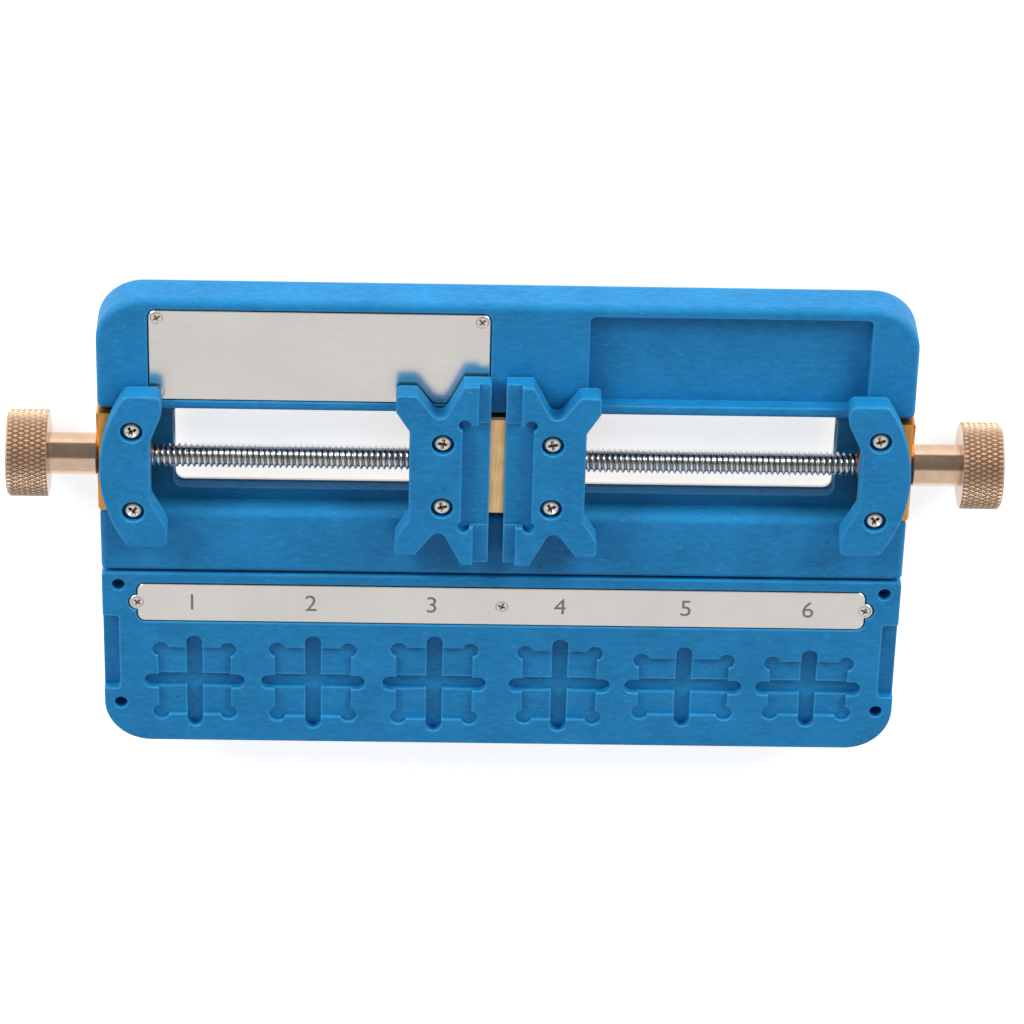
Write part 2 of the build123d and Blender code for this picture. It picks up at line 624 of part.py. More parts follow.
def knob(side):
    profile = [
        (NECK_IN, STEM_R),
        (NECK_IN, NECK_R),
        (KNOB_IN, NECK_R),
        (KNOB_IN, KNOB_R - KNOB_RIM_IN),
        (KNOB_IN + KNOB_RIM_IN, KNOB_R),
        (KNOB_OUT - KNOB_RIM_OUT, KNOB_R),
        (KNOB_OUT, KNOB_R - KNOB_RIM_OUT),
        (KNOB_OUT, 0),
        (KNOB_BORE_OUT, 0),
        (KNOB_BORE_OUT, STEM_R),
    ]
    with BuildPart() as handle:
        with BuildSketch(half_section(side)):
            with BuildLine():
                Polyline(*profile, close=True)
            make_face()
        revolve(axis=ALONG_X)
        with Locations((side * GRUB_X, SCREW_Y, SCREW_Z)):
            Cylinder(GRUB_R, 2 * NECK_R, align=TOP_MAX, mode=Mode.SUBTRACT)
    save(handle, side_name(side, "knob"))
    with BuildPart() as grub:
        with BuildSketch(Plane.XY.offset(SCREW_Z - STEM_R)):
            with Locations((side * GRUB_X, SCREW_Y)):
                Circle(GRUB_R)
        extrude(amount=STEM_R - NECK_R + GRUB_SINK)
        with BuildSketch(Plane.XY.offset(SCREW_Z - NECK_R)):
            with Locations((side * GRUB_X, SCREW_Y)):
                RegularPolygon(GRUB_HEX_R, 6)
        extrude(amount=GRUB_HEX_DEPTH, mode=Mode.SUBTRACT)
    save(grub, side_name(side, "knob_grub_screw"))


base_plate()
rubber_feet()
main_body()
chip_tray()
name_plate()
label_strip()
centre_block()
fasteners("name_plate_screws", NAME_SCREWS, SHEET_TOP_Z, PLATE_SCREW, PLATE_SCREW_L)
fasteners("label_strip_screws", LABEL_SCREWS, SHEET_TOP_Z, PLATE_SCREW, PLATE_SCREW_L)
fasteners("body_screws", BODY_SCREWS, FOOT_H - BASE_SCREW[1], BASE_SCREW, BASE_SCREW_L, False)
fasteners("tray_screws", TRAY_SCREWS, FOOT_H - BASE_SCREW[1], BASE_SCREW, BASE_SCREW_L, False)
fasteners("block_screws", BLOCK_SCREWS, FOOT_H - BASE_SCREW[1], BASE_SCREW, BASE_SCREW_L, False)
fasteners("outer_jaw_screws", OUTER_JAW_SCREWS, CAP_HEAD_Z, CAP_SCREW, CAP_SEAT_Z - CAP_TIP_Z)
for hand in (-1, 1):
    end_block(hand)
    slider(hand)
    outer_jaw(hand)
    inner_jaw(hand)
    lead_screw(hand)
    bearing(hand)
    ring("thrust_washer", hand, THREAD_OUT, WASHER_T, STEM_R, WASHER_R)
    knob(hand)
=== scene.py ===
import math

import bmesh
import bpy
from mathutils import Matrix, Vector


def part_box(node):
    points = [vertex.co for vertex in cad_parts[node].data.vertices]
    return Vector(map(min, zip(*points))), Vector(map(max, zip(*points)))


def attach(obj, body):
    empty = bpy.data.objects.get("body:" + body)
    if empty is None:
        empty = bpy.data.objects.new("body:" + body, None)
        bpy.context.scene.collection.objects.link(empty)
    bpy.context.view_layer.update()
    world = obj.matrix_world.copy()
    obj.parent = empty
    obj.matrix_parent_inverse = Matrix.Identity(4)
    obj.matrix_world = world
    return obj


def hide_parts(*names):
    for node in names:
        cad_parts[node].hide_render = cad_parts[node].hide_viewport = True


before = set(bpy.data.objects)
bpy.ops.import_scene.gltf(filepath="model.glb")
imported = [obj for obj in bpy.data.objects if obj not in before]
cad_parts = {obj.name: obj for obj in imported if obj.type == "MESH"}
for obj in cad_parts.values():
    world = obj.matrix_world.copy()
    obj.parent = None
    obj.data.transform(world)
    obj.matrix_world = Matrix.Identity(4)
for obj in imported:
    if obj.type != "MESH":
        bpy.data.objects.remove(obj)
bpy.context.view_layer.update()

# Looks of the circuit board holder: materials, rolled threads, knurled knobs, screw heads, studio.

MM = 0.001

# ---- sizes that the frame doesn't hold --------------------------------------------------------
# lead screws
PITCH = 1.1 * MM
THREAD_DEPTH = 0.55 * MM
THREAD_STEPS = 40  # corners in one turn of the thread
CREST_SHARE = 0.16  # flat crest and flat root, as shares of the pitch
ROOT_SHARE = 0.10
SPARE_TURNS = 3  # turns that are cut off again, half of them at each end
THREAD_GAP = 0.15 * MM  # between a thread's inner end and the centre block
TIP_RADIUS = 1.0 * MM
STEM_RADIUS = 2.0 * MM
JOIN = 0.5 * MM  # how far two turned parts of one piece reach into each other

# knobs
KNURL_COUNT = 54  # diamonds round a knob
KNURL_COLUMN = 1.08 * MM  # half a diamond's length
KNURL_DEPTH = 0.30 * MM
KNURL_TOP = 0.58  # a diamond's flat top, as a share of its size
KNURL_LEAD = 1.5  # columns before the knurl's start
KNURL_SPARE = 4  # columns more than the knurl's length holds
KNURL_CAP = 3  # columns from an end of the knurl to the tip that closes it
NECK_COLUMNS = 10  # columns that cover the neck, an even number
NECK_LENGTH = 9.2 * MM
NECK_RADIUS = 4.0 * MM
NECK_RIM = 0.2 * MM  # chamfers: neck, head's inner face, head's outer face
RIM_IN = 0.3 * MM
RIM_OUT = 0.5 * MM
BORE_RADIUS = 2.02 * MM
KNOB_WALL = 2.3 * MM  # between the bore's end and the knob's outer face
KNOB_INNER = 87.1 * MM  # inner face of a knob's head, from the middle

# screw heads
HEADS = {
    "cap": {
        "head_radius": 1.7 * MM,
        "head_height": 1.45 * MM,
        "shank_radius": 1.0 * MM,
        "cross": (2.15 * MM, 0.62 * MM, 0.9 * MM),  # length, width, depth
    },
    "plate": {
        "head_radius": 1.2 * MM,
        "head_height": 0.4 * MM,
        "shank_radius": 0.6 * MM,
        "cross": (1.6 * MM, 0.42 * MM, 0.38 * MM),
    },
}
SCREW_SETS = (  # node, body, head
    ("left_jaw_screws", "left_carriage", "cap"),
    ("right_jaw_screws", "right_carriage", "cap"),
    ("outer_jaw_screws", "base", "cap"),
    ("name_plate_screws", "base", "plate"),
    ("label_strip_screws", "base", "plate"),
)
DOME_STEPS = 6
DOME_RIM = 0.38  # a head's rounding, as a share of its radius and of its height
DOME_DROP = 0.42
CROSS_TAPER = ((1.15, 0.15), (1.0, 0.0), (0.62, -0.55), (0.3, -1.0))  # size share, height in depths
CROSS_WIDER = 0.15  # how much more of its width than of its length a cross keeps
CROSS_FIRST = 25  # degrees: turn of a set's first cross, of each next one, and for each metre of X
CROSS_NEXT = 67
CROSS_ALONG = 900
SINGLE_FILE = 3  # a box of screws narrower than this many head radii has one row of them

# numbers
NUMBER_X = (-60.2, -37.1, -13.6, 11.4, 35.9, 59.7)  # mm
NUMBER_HEIGHT = 3.6 * MM
NUMBER_LIFT = 0.02 * MM
FONT_TO_DIGIT = 1.42  # a font's size over the height of its digits

# painted shade in the channel
CHANNEL_MIDDLE = 14.575 * MM  # along Y
CHANNEL_HALF = 11.275 * MM
CHANNEL_SHADE_SIDES = (CHANNEL_HALF + 0.3 * MM, CHANNEL_HALF + 0.1 * MM)  # where it ends, where it is full
CHANNEL_SHADE_HEIGHTS = (10.2 * MM, 6.4 * MM)

# all meshes
TURN_STEPS = 96  # corners of a large turned shape
HEAD_STEPS = 48  # corners of a screw head or a screw hole
SHARP_ANGLE = math.radians(35)
MERGE = 0.001 * MM

# ---- colours, as they look on screen, 0 to 255 ------------------------------------------------
STONE_DARK = (10, 107, 164)
STONE_LIGHT = (17, 119, 180)
STONE_GRAIN = (44, 144, 198)
STONE_FIBRE = (90, 166, 204)
STONE_SPECK = (16, 60, 104)
STONE_EDGE_WEAR_AND_HIGHLIGHT = (72, 160, 206)
# painted shade for the channel
STONE_CHANNEL_SHADE = (8, 58, 94)
SHEET_DARK = (222, 217, 211)
SHEET_LIGHT = (228, 222, 216)
SHEET_LINE = (198, 192, 186)
PALE_BRASS = ((240, 202, 150), (230, 186, 128), (204, 154, 98))  # light, dark, cutter marks
DARK_BRASS = ((228, 162, 84), (214, 146, 70), (182, 116, 50))
ROSE_DARK = (212, 180, 154)
ROSE_LIGHT = (224, 192, 166)
ROSE_RUBBED = (236, 214, 196)
ROSE_GROOVE_SHADE = (132, 96, 72)
ROSE_HEAD = (172, 146, 126)
ZINC_DARK = (206, 208, 210)
ZINC_LIGHT = (228, 229, 230)
ZINC_ROOT_SHADE = (24, 22, 22)
NICKEL_LIGHT = (232, 222, 214)
NICKEL_DARK = (212, 200, 190)
NICKEL_RECESS_SHADE = (82, 56, 42)
BEARING_DARK = (190, 192, 196)
BEARING_LIGHT = (216, 218, 220)
RUBBER_DARK = (20, 20, 21)
RUBBER_LIGHT = (40, 40, 42)
ETCHED_DARK = (112, 106, 100)
ETCHED_LIGHT = (146, 140, 133)
FLOOR_DARK = (232, 232, 233)
FLOOR_LIGHT = (236, 236, 236)

# ---- camera and studio ------------------------------------------------------------------------
CAMERA_PLACE = (-0.01873, 0.46055, 0.76440)  # fitted to points of the photo, as are the angles
CAMERA_ROLL = 1.582  # degrees about Z, then X, then Y
CAMERA_TILT = -31.202
CAMERA_TURN = -1.539
SENSOR = 36.0
LENS = 161.05
CLIP_START = 0.01
CARD = 0.88  # how bright the reflector card looks, 1 being white
CARD_FADE = (-0.04, 0.08)  # direction's Y: full card, no card
CARD_SIDES = (0.35, 0.6)  # direction's X: full card, its dim ends
CARD_END = 0.25
SKY = 0.22
SKY_TINT = (0.97, 0.985, 1.0, 1.0)
KEY = 11.5
KEY_TINT = (1.0, 1.0, 0.92)
KEY_PLACE = (0.95, 0.85, 0.42)
KEY_SIZE = (0.8, 0.6)
FLOOR_HALF = 2.5
FLOOR_GLOW = 0.56
OCCLUSION_SAMPLES = 8


def add_camera():
    data = bpy.data.cameras.new("camera")
    data.sensor_width = SENSOR
    data.lens = LENS
    data.clip_start = CLIP_START
    camera = bpy.data.objects.new("camera", data)
    roll_z = Matrix.Rotation(math.radians(CAMERA_ROLL), 4, "Z")
    tilt_x = Matrix.Rotation(math.radians(CAMERA_TILT), 4, "X")
    turn_y = Matrix.Rotation(math.radians(CAMERA_TURN), 4, "Y")
    camera.matrix_world = Matrix.Translation(CAMERA_PLACE) @ turn_y @ tilt_x @ roll_z
    bpy.context.scene.collection.objects.link(camera)
    bpy.context.scene.camera = camera


# ---- materials --------------------------------------------------------------------------------
class Nodes:
    """Nodes of one tree. A socket given as an input's value is linked to it."""

    def __init__(self, tree):
        self.tree = tree

    def feed(self, socket, value):
        if isinstance(value, bpy.types.NodeSocket):
            self.tree.links.new(value, socket)
        else:
            socket.default_value = value

    def fill(self, node, inputs):
        for name, value in inputs.items():
            self.feed(node.inputs[name.replace("_", " ")], value)

    def add(self, kind, **inputs):
        """A new shader node. Its inputs are named with _ for a space."""
        node = self.tree.nodes.new("ShaderNode" + kind)
        self.fill(node, inputs)
        return node

    def split(self, vector):
        return self.add("SeparateXYZ", Vector=vector).outputs

    def remap(self, value, low, high, to_low=0.0, to_high=1.0, smooth=False):
        node = self.add("MapRange", From_Min=low, From_Max=high, To_Min=to_low, To_Max=to_high)
        node.interpolation_type = "SMOOTHSTEP" if smooth else "LINEAR"
        self.feed(node.inputs["Value"], value)
        return node.outputs["Result"]

    def math(self, operation, *values):
        node = self.add("Math")
        node.operation = operation
        for socket, value in zip(node.inputs, values):
            self.feed(socket, value)
        return node.outputs[0]


class Surface(Nodes):
    """A procedural material in the making."""

    def __init__(self, name, **shader_inputs):
        self.material = bpy.data.materials.new(name)
        self.material.use_nodes = True
        super().__init__(self.material.node_tree)
        self.shader = self.tree.nodes["Principled BSDF"]
        self.place = self.add("TexCoord").outputs["Object"]
        self.finish(**shader_inputs)

    def finish(self, **inputs):
        self.fill(self.shader, inputs)

    def scaled(self, size, stretch):
        """The place counted in sizes, in longer ones along a stretched axis."""
        scale = [1 / (size * s) for s in stretch]
        return self.add("Mapping", Vector=self.place, Scale=scale).outputs[0]

    def noise(self, size, detail=3.0, roughness=0.55, stretch=(1, 1, 1)):
        """Noise whose features are about size across, in metres, longer along a stretched axis."""
        place = self.scaled(size, stretch)
        node = self.add("TexNoise", Vector=place, Scale=1.0, Detail=detail, Roughness=roughness)
        return node.outputs["Fac"]

    def flakes(self, size, stretch=(1, 1, 1)):
        """Distance from scattered points, for specks."""
        node = self.add("TexVoronoi", Vector=self.scaled(size, stretch), Scale=1.0)
        return node.outputs["Distance"]

    def lathe_marks(self, width, point):
        """Noise that only changes along X and away from the line along X through a point."""
        parts = self.split(self.place)
        y = self.math("SUBTRACT", parts["Y"], point.y)
        z = self.math("SUBTRACT", parts["Z"], point.z)
        square = self.math("ADD", self.math("MULTIPLY", y, y), self.math("MULTIPLY", z, z))
        noise = self.add("TexNoise")
        noise.noise_dimensions = "1D"
        along = self.math("ADD", parts["X"], self.math("SQRT", square))
        self.fill(noise, {"W": along, "Scale": 1 / width, "Detail": 2.0})
        return noise.outputs["Fac"]

    def mix(self, share, first, second):
        """A mix of two colours, whose sockets come after those for numbers and for vectors."""
        node = self.add("Mix")
        node.data_type = "RGBA"
        for place, value in ((0, share), (6, first), (7, second)):
            self.feed(node.inputs[place], value)
        return node.outputs[2]

    def tint(self, base, share, strength, tone):
        """The base with some of a tone in it: strength of it where share is 1."""
        return self.mix(self.math("MULTIPLY", share, strength), base, colour(tone))

    def occlusion(self, reach, open_light, deep_light, inside):
        node = self.add("AmbientOcclusion", Distance=reach)
        node.inside = inside
        node.only_local = True
        node.samples = OCCLUSION_SAMPLES
        return self.remap(node.outputs["AO"], open_light, deep_light)

    def edges(self, reach):
        """1 close to outward edges, falling to 0 about one reach away from them."""
        return self.occlusion(reach, 0.95, 0.55, True)

    def crevices(self, reach, shallow=0.85, deep=0.35):
        """1 deep in a recess about one reach wide, 0 in the open."""
        return self.occlusion(reach, shallow, deep, False)

    def bump(self, height, depth, under=None):
        """A normal for relief as deep as depth, on top of another bump's if one is given."""
        node = self.add("Bump", Height=height, Distance=depth, Strength=1.0)
        if under is not None:
            self.feed(node.inputs["Normal"], under)
        return node.outputs["Normal"]


def colour(tone):
    """A colour given as it looks on screen, 0 to 255, as linear values for a socket."""
    def linear(v):
        v /= 255
        return v / 12.92 if v <= 0.04045 else ((v + 0.055) / 1.055) ** 2.4

    return *map(linear, tone), 1.0


def blue_stone():
    """Milled resin board: mottled blue, short pale fibres, dark specks, edges paler from wear and a
    painted highlight.

    Painted shade makes it darker low in the channel.
    """
    s = Surface("blue_stone", IOR=1.48, Specular_IOR_Level=0.25)
    mottle = s.remap(s.noise(9 * MM, 4, 0.6), 0.32, 0.68)
    base = s.mix(mottle, colour(STONE_DARK), colour(STONE_LIGHT))
    grain = s.remap(s.noise(0.7 * MM, 3, 0.65, (2.6, 1, 1)), 0.42, 0.72)
    base = s.tint(base, grain, 0.3, STONE_GRAIN)
    fibre = s.remap(s.flakes(2.2 * MM, (2.2, 1, 1)), 0.10, 0.04)
    base = s.tint(base, fibre, 0.3, STONE_FIBRE)
    speck = s.remap(s.flakes(6.5 * MM), 0.055, 0.03)
    base = s.tint(base, speck, 0.55, STONE_SPECK)
    # paler edges: partly wear, partly painted highlight
    edge = s.math("MULTIPLY", s.edges(0.45 * MM), s.remap(s.noise(1.2 * MM), 0.2, 0.6, 0.55, 1.0))
    base = s.tint(base, edge, 0.6, STONE_EDGE_WEAR_AND_HIGHLIGHT)
    parts = s.split(s.place)
    # painted shade: darker low down in the channel
    off_channel = s.math("ABSOLUTE", s.math("SUBTRACT", parts["Y"], CHANNEL_MIDDLE))
    channel_shade = s.math("MULTIPLY", s.remap(off_channel, *CHANNEL_SHADE_SIDES), s.remap(parts["Z"], *CHANNEL_SHADE_HEIGHTS))
    base = s.tint(base, channel_shade, 0.35, STONE_CHANNEL_SHADE)
    cutter = s.noise(0.35 * MM, 2, 0.5, (14, 1, 1))
    pitted = s.bump(s.noise(0.5 * MM, 4, 0.7), 0.045 * MM)
    s.finish(
        Base_Color=base,
        Roughness=s.remap(grain, 0, 1, 0.62, 0.48),
        Normal=s.bump(cutter, 0.02 * MM, pitted),
    )
    return s.material


def stainless():
    """Sheet brushed along X, duller at its edges."""
    s = Surface("stainless", Metallic=1.0)
    cloud = s.remap(s.noise(14 * MM, 3, 0.5), 0.35, 0.65)
    base = s.mix(cloud, colour(SHEET_DARK), colour(SHEET_LIGHT))
    line = s.noise(0.12 * MM, 3, 0.6, (60, 1, 1))
    base = s.mix(s.remap(line, 0.35, 0.7, 0.0, 0.22), base, colour(SHEET_LINE))
    worn = s.math("MULTIPLY", s.edges(0.25 * MM), 0.35)
    s.finish(Base_Color=base, Roughness=s.math("ADD", s.remap(line, 0.3, 0.7, 0.2, 0.28), worn))
    s.finish(Normal=s.bump(line, 0.003 * MM))
    return s.material


def brass(name, light, dark, line_tone):
    """Milled brass, cutter marks along Y."""
    s = Surface(name, Metallic=1.0)
    line = s.noise(0.16 * MM, 3, 0.6, (1, 40, 1))
    cloud = s.remap(s.noise(4 * MM, 3, 0.5), 0.35, 0.65)
    base = s.mix(cloud, colour(dark), colour(light))
    base = s.mix(s.remap(line, 0.45, 0.75, 0.0, 0.5), base, colour(line_tone))
    s.finish(Base_Color=base, Roughness=s.remap(line, 0.3, 0.7, 0.3, 0.46))
    s.finish(Normal=s.bump(line, 0.01 * MM))
    return s.material


def knob_metal():
    """Rose gold anodised aluminium with fine turning marks, duller and darker on the heads."""
    s = Surface("knob_metal", Metallic=1.0)
    low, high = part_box("left_knob")
    ring = s.lathe_marks(0.16 * MM, (low + high) / 2)
    cloud = s.remap(s.noise(3 * MM, 3, 0.6), 0.35, 0.65)
    base = s.mix(cloud, colour(ROSE_DARK), colour(ROSE_LIGHT))
    base = s.tint(base, s.edges(0.15 * MM), 0.3, ROSE_RUBBED)
    # painted shade: darker deep in the knurl's grooves
    base = s.tint(base, s.crevices(0.5 * MM), 0.45, ROSE_GROOVE_SHADE)
    off_middle = s.math("ABSOLUTE", s.split(s.place)["X"])
    head = s.remap(off_middle, KNOB_INNER, KNOB_INNER + 0.05 * MM)
    base = s.tint(base, head, 0.6, ROSE_HEAD)
    rough = s.math("ADD", s.remap(ring, 0.3, 0.7, 0.15, 0.24), s.math("MULTIPLY", head, 0.3))
    s.finish(Base_Color=base, Roughness=rough)
    s.finish(Normal=s.bump(ring, 0.006 * MM))
    return s.material


def zinc():
    """Bright zinc on the rolled threads, with painted shade that darkens the roots."""
    s = Surface("zinc", Metallic=1.0)
    cloud = s.remap(s.noise(2.5 * MM, 3, 0.6), 0.35, 0.65)
    base = s.mix(cloud, colour(ZINC_DARK), colour(ZINC_LIGHT))
    # painted shade: near black in the thread roots
    base = s.mix(s.crevices(0.6 * MM, 0.8, 0.45), base, colour(ZINC_ROOT_SHADE))
    fine = s.noise(0.15 * MM, 3, 0.6)
    s.finish(Base_Color=base, Roughness=s.remap(fine, 0.3, 0.7, 0.14, 0.28))
    s.finish(Normal=s.bump(fine, 0.004 * MM))
    return s.material


def nickel(name, reach, deep):
    """Nickel plated heads, slightly warm, with painted shade darkening recesses about as wide as
    reach.
    """
    s = Surface(name, Metallic=1.0)
    fine = s.noise(0.2 * MM, 3, 0.6)
    base = s.mix(s.remap(fine, 0.35, 0.7), colour(NICKEL_LIGHT), colour(NICKEL_DARK))
    # painted shade: brown darkening in the cross recesses, rougher there too
    recess_shade = s.math("MULTIPLY", s.crevices(reach, 0.85, deep), 0.85)
    base = s.mix(recess_shade, base, colour(NICKEL_RECESS_SHADE))
    rough = s.math("ADD", s.remap(fine, 0.3, 0.7, 0.16, 0.3), s.math("MULTIPLY", recess_shade, 0.3))
    s.finish(Base_Color=base, Roughness=rough)
    s.finish(Normal=s.bump(fine, 0.004 * MM))
    return s.material


def bearing_steel():
    s = Surface("bearing_steel", Metallic=1.0)
    fine = s.noise(0.3 * MM, 2, 0.5)
    s.finish(Base_Color=s.mix(fine, colour(BEARING_DARK), colour(BEARING_LIGHT)))
    s.finish(Roughness=s.remap(fine, 0.3, 0.7, 0.08, 0.18))
    return s.material


def rubber():
    s = Surface("rubber")
    fine = s.noise(0.4 * MM, 4, 0.7)
    s.finish(Base_Color=s.mix(fine, colour(RUBBER_DARK), colour(RUBBER_LIGHT)))
    s.finish(Roughness=s.remap(fine, 0.3, 0.7, 0.6, 0.85), Normal=s.bump(fine, 0.03 * MM))
    return s.material


def etched():
    """Etched and darkened number."""
    s = Surface("etched", Metallic=0.6)
    fine = s.noise(0.18 * MM, 3, 0.7)
    s.finish(Base_Color=s.mix(fine, colour(ETCHED_DARK), colour(ETCHED_LIGHT)))
    s.finish(Roughness=s.remap(fine, 0.3, 0.7, 0.5, 0.7))
    return s.material


def floor_material():
    s = Surface("floor", Roughness=0.9)
    s.finish(Base_Color=s.mix(s.noise(30 * MM), colour(FLOOR_DARK), colour(FLOOR_LIGHT)))
    s.finish(Emission_Color=(1.0, 1.0, 1.0, 1.0), Emission_Strength=FLOOR_GLOW)
    return s.material


def dress(material, *nodes):
    for name in nodes:
        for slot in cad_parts[name].material_slots:
            slot.material = material


# ---- meshes -----------------------------------------------------------------------------------
def piece(name, bm, material, body, slot, *replaced):
    """A piece from a bmesh, creased at its sharp edges, riding on a body."""
    bmesh.ops.recalc_face_normals(bm, faces=bm.faces)
    for edge in bm.edges:
        edge.smooth = len(edge.link_faces) == 2 and edge.calc_face_angle() < SHARP_ANGLE
    for face in bm.faces:
        face.smooth = True
    mesh = bpy.data.meshes.new(name)
    bm.to_mesh(mesh)
    bm.free()
    mesh.materials.append(material)
    obj = bpy.data.objects.new(name, mesh)
    bpy.context.scene.collection.objects.link(obj)
    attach(obj, body)
    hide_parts(*replaced)


def around(axis_point, x, radius, angle):
    """A place at x, a radius away from the line along X through a point."""
    y = axis_point.y + radius * math.cos(angle)
    z = axis_point.z + radius * math.sin(angle)
    return x, y, z


def skin(bm, rings):
    """Faces from ring to ring. A ring of one vertex is a tip."""
    for first, second in zip(rings, rings[1:]):
        for i in range(max(len(first), len(second))):
            corners = [first[i % len(first)], first[(i + 1) % len(first)]]
            corners += [second[(i + 1) % len(second)], second[i % len(second)]]
            bm.faces.new(list(dict.fromkeys(corners)))


def turned(bm, profile, axis_point, side):
    """Adds a turned shape: profile is (distance outwards along X, radius)."""
    rings = []
    for along, radius in profile:
        steps = range(TURN_STEPS if radius else 1)
        angles = [2 * math.pi * i / TURN_STEPS for i in steps]
        rings.append([bm.verts.new(around(axis_point, side * along, radius, a)) for a in angles])
    skin(bm, rings)


def cut_flat(bm, x, keep_below):
    """Cuts a tube off at x and closes the cut."""
    cut = bmesh.ops.bisect_plane(
        bm,
        geom=bm.verts[:] + bm.edges[:] + bm.faces[:],
        plane_co=(x, 0, 0),
        plane_no=(1, 0, 0),
        clear_outer=keep_below,
        clear_inner=not keep_below,
    )
    loop = [g for g in cut["geom_cut"] if isinstance(g, bmesh.types.BMEdge)]
    bmesh.ops.edgeloop_fill(bm, edges=loop)


def cut_mesh(first, second, operation):
    """The exact union, intersection or difference of two closed bmeshes."""
    objects = []
    for bm in (first, second):
        bmesh.ops.recalc_face_normals(bm, faces=bm.faces)
        mesh = bpy.data.meshes.new("cut")
        bm.to_mesh(mesh)
        bm.free()
        objects.append(bpy.data.objects.new("cut", mesh))
        bpy.context.scene.collection.objects.link(objects[-1])
    cut = objects[0].modifiers.new("cut", "BOOLEAN")
    cut.operation = operation
    cut.solver = "EXACT"
    cut.object = objects[1]
    graph = bpy.context.evaluated_depsgraph_get()
    result = bmesh.new()
    result.from_mesh(bpy.data.meshes.new_from_object(objects[0].evaluated_get(graph)))
    for temporary in objects:
        bpy.data.objects.remove(temporary)
    return result


def thread(axis_point, start, end, radius):
    """A right-hand thread between two places on X, its rows following the helix."""
    root = radius - THREAD_DEPTH
    flank = (1 - CREST_SHARE - ROOT_SHARE) / 2
    section = (
        (0, root),
        (ROOT_SHARE, root),
        (ROOT_SHARE + flank, radius),
        (ROOT_SHARE + flank + CREST_SHARE, radius),
    )
    bm = bmesh.new()
    rows = []
    for turn in range(math.ceil((end - start) / PITCH) + SPARE_TURNS):
        for share, r in section:
            row = []
            for i in range(THREAD_STEPS):
                x = start + PITCH * (turn - SPARE_TURNS / 2 + share + i / THREAD_STEPS)
                angle = 2 * math.pi * i / THREAD_STEPS
                row.append(bm.verts.new(around(axis_point, x, r, angle)))
            rows.append(row)
    for k in range(len(rows) - 1):
        for i in range(THREAD_STEPS - 1):
            bm.faces.new((rows[k][i], rows[k][i + 1], rows[k + 1][i + 1], rows[k + 1][i]))
        ahead = k + len(section)
        if ahead + 1 < len(rows):
            bm.faces.new((rows[k][-1], rows[ahead][0], rows[ahead + 1][0], rows[k + 1][-1]))
    cut_flat(bm, start, False)
    cut_flat(bm, end, True)
    return bm


def lead_screw(side, body, node, material):
    """A thread from the centre block to the thrust washer, between a plain tip and a plain stem."""
    low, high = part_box(node)
    axis_point = (low + high) / 2
    radius = (high.z - low.z) / 2
    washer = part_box(node.replace("lead_screw", "thrust_washer"))
    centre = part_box("centre_block")
    tip_in, stem_out = sorted((abs(low.x), abs(high.x)))
    thread_in = centre[1].x + THREAD_GAP
    thread_out = min(abs(washer[0].x), abs(washer[1].x))
    shaft = bmesh.new()
    for start, end, r in (
        (tip_in, thread_in + JOIN, TIP_RADIUS),
        (thread_out - JOIN, stem_out, STEM_RADIUS),
    ):
        turned(shaft, [(start, 0), (start, r), (end, r), (end, 0)], axis_point, side)
    start, end = sorted((side * thread_in, side * thread_out))
    screw = cut_mesh(thread(axis_point, start, end, radius), shaft, "UNION")
    piece(node.replace("lead_screw", "threaded_screw"), screw, material, body, "zinc_screw", node)


def knurled_bar(axis_point, side, inner, outer, radius):
    """Diamond knurled cylinder: flat-topped diamonds between two families of helical grooves."""
    count = 2 * KNURL_COUNT
    columns = math.ceil((outer - inner) / KNURL_COLUMN) + KNURL_SPARE
    bm = bmesh.new()

    def vertex(column, step, r):
        x = side * (inner + KNURL_COLUMN * (column - KNURL_LEAD))
        return bm.verts.new(around(axis_point, x, r, 2 * math.pi * step / count))

    low = {}
    for k in range(-1, columns + 1):
        for i in range(count):
            if (i + k) % 2:
                low[k, i] = vertex(k, i, radius - KNURL_DEPTH)
    for k in range(columns):
        for i in range(k % 2, count, 2):
            after, before = (i + 1) % count, (i - 1) % count
            corners = [low[k - 1, i], low[k, after], low[k + 1, i], low[k, before]]
            tops = [
                vertex(k - KNURL_TOP, i, radius),
                vertex(k, i + KNURL_TOP, radius),
                vertex(k + KNURL_TOP, i, radius),
                vertex(k, i - KNURL_TOP, radius),
            ]
            bm.faces.new(tops)
            for j in range(4):
                bm.faces.new((corners[j], corners[(j + 1) % 4], tops[(j + 1) % 4], tops[j]))
    inner_tip = inner - KNURL_CAP * KNURL_COLUMN
    outer_tip = outer + KNURL_CAP * KNURL_COLUMN
    for ends, x in (((-1, 0), inner_tip), ((columns, columns - 1), outer_tip)):
        tip = bm.verts.new((side * x, axis_point.y, axis_point.z))
        rim = [next(low[k, i] for k in ends if (k, i) in low) for i in range(count)]
        for i in range(count):
            bm.faces.new((rim[i], rim[(i + 1) % count], tip))
    bmesh.ops.recalc_face_normals(bm, faces=bm.faces)
    return bm


